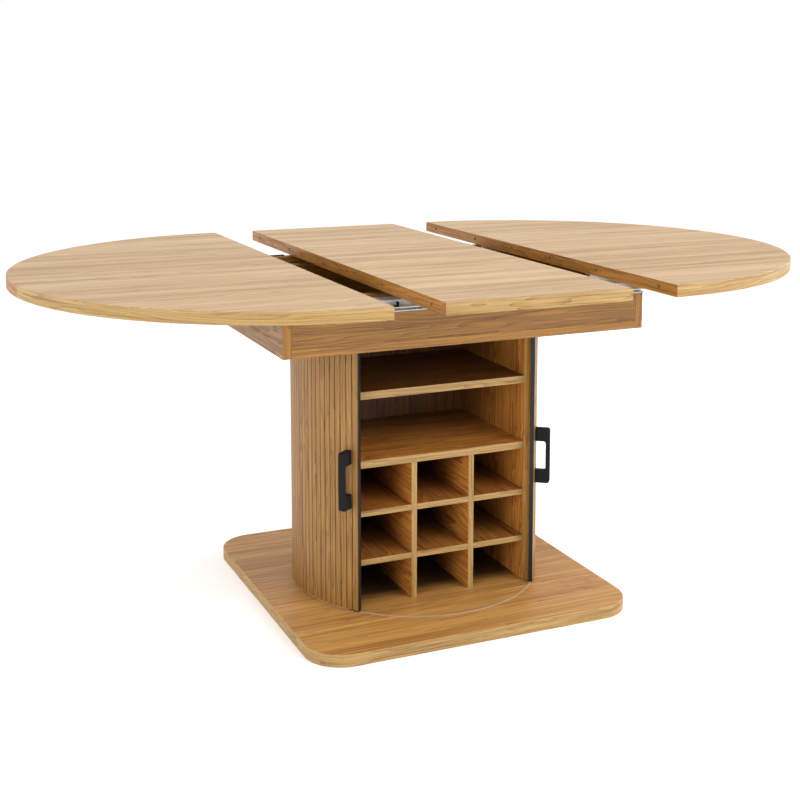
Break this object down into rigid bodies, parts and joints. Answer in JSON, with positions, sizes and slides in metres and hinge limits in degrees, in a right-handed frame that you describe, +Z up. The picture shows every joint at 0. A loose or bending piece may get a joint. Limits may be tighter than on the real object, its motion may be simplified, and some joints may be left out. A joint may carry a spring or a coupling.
{
  "type": "extending pedestal table with tambour cabinet",
  "caption": "Round extending pedestal table with a drop-in leaf, a cabinet with curved sliding tambour doors in the column, shelves and a bottle rack, on a square base.",
  "frame": {"origin": "on the floor under the middle of the column, the centre of the table's footprint", "axes": "+X the way the top pulls open, to the right of someone facing the open cabinet; +Y away from that person, from the cabinet's front to its back; +Z up"},
  "size_m": [1.7878, 1.184, 0.77],
  "materials": {
    "top_oak": "satin oak veneer",
    "body_oak": "satin oak veneer",
    "dowel_beech": "bare",
    "guide_ring": "satin",
    "slide_steel": "satin grey",
    "black_metal": "matte black",
    "black_plastic": "matte",
    "nylon": "matte",
    "canvas": "woven",
    "brass": "satin",
    "rubber": "matte"
  },
  "bodies": {
    "base": {"base_plate": "body_oak", "base_glides": "black_plastic", "floor_track": "guide_ring", "left_side_panel": "body_oak", "right_side_panel": "body_oak", "back_panel": "body_oak", "upper_shelf": "body_oak", "lower_shelf": "body_oak", "rack_shelf_upper": "body_oak", "rack_shelf_lower": "body_oak", "rack_divider_left": "body_oak", "rack_divider_right": "body_oak", "apron_bottom_panel": "body_oak", "apron_side_left": "body_oak", "apron_side_right": "body_oak", "apron_front_rail": "body_oak", "apron_back_rail": "body_oak", "inner_rail_front": "body_oak", "inner_rail_back": "body_oak", "inner_side_left": "body_oak", "inner_side_right": "body_oak", "ceiling_track": "guide_ring", "leaf_rest_blocks": "rubber", "guide_channel_front": "slide_steel", "guide_channel_back": "slide_steel", "slide_stops": "black_metal", "back_rest_rail": "body_oak", "back_rest_pads": "rubber"},
    "left_top": {"half_top_left": "top_oak", "half_top_dowels": "dowel_beech", "left_runner_front": "slide_steel", "left_runner_back": "slide_steel", "left_runner_shoes": "black_plastic"},
    "right_top": {"half_top_right": "top_oak", "right_runner_front": "slide_steel", "right_runner_back": "slide_steel", "right_runner_shoes": "black_plastic"},
    "leaf_front": {"leaf_front_panel": "top_oak", "leaf_front_dowels": "dowel_beech", "leaf_front_hinges": "brass"},
    "leaf_rear": {"leaf_rear_panel": "top_oak", "leaf_rear_dowels": "dowel_beech", "leaf_rear_hinges": "brass"},
    "left_door": {"left_door_slats": "body_oak", "left_door_handle": "black_metal", "left_door_leading_strip": "black_plastic", "left_door_trailing_strip": "black_plastic", "left_door_guides": "nylon", "left_door_canvas": "canvas"},
    "right_door": {"right_door_slats": "body_oak", "right_door_handle": "black_metal", "right_door_leading_strip": "black_plastic", "right_door_trailing_strip": "black_plastic", "right_door_guides": "nylon", "right_door_canvas": "canvas"}
  },
  "joints": [
    {"name": "left_top_slide", "type": "slide", "parent": "base", "child": "left_top", "axis": [1, 0, 0], "range_m": [0, 0.093]},
    {"name": "right_top_slide", "type": "slide", "parent": "base", "child": "right_top", "axis": [-1, 0, 0], "range_m": [0, 0.093]},
    {"name": "leaf_lift", "type": "slide", "parent": "base", "child": "leaf_front", "axis": [0, 0, 1], "range_m": [0, 0.3]},
    {"name": "leaf_fold", "type": "hinge", "parent": "leaf_front", "child": "leaf_rear", "pos_m": [0, 0, 0.7703], "axis": [1, 0, 0], "range_deg": [0, 180]},
    {"name": "left_door_turn", "type": "hinge", "parent": "base", "child": "left_door", "pos_m": [0, 0, 0.028], "axis": [0, 0, 1], "range_deg": [0, 47.9]},
    {"name": "right_door_turn", "type": "hinge", "parent": "base", "child": "right_door", "pos_m": [0, 0, 0.028], "axis": [0, 0, -1], "range_deg": [0, 47.9]}
  ]
}
